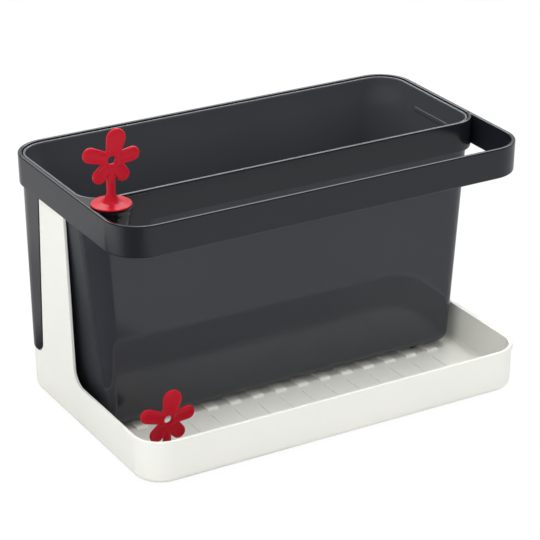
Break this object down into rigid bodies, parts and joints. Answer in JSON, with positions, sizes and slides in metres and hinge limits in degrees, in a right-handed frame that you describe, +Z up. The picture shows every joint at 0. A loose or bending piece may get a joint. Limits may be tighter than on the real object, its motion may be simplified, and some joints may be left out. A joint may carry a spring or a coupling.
{
  "type": "rinse basket",
  "caption": "Lift-out rectangular rinse basket in a drip tray stand, with a towel rail round its collar and flower-shaped drain plugs.",
  "frame": {"origin": "middle of the rail frame in plan, on the worktop", "axes": "+X to the right along the length, +Y to the back, +Z up"},
  "size_m": [0.2852, 0.1696, 0.208],
  "materials": {
    "white_plastic": "satin off-white",
    "grey_plastic": "satin anthracite",
    "black_plastic": "glossy black",
    "smoky_plastic": "glossy smoky grey, slightly see-through",
    "red_plastic": "satin red",
    "black_rubber": "matt black"
  },
  "bodies": {
    "stand": {"drip_stand": "white_plastic", "rail_frame": "grey_plastic", "plug_cup": "black_plastic"},
    "basket_body": {"basket": "smoky_plastic"},
    "holder_plug": {"parked_plug": "red_plastic", "parked_plug_seal": "black_rubber"},
    "drain_plug": {"tray_plug": "red_plastic", "tray_plug_seal": "black_rubber"}
  },
  "joints": [
    {"name": "basket_lift", "type": "slide", "parent": "stand", "child": "basket_body", "axis": [0, 0, 1], "range_m": [0, 0.155]},
    {"name": "parked_plug_lift", "type": "slide", "parent": "stand", "child": "holder_plug", "axis": [0, 0, 1], "range_m": [0, 0.04]},
    {"name": "tray_plug_lift", "type": "slide", "parent": "stand", "child": "drain_plug", "axis": [0, 0, 1], "range_m": [0, 0.06]}
  ]
}
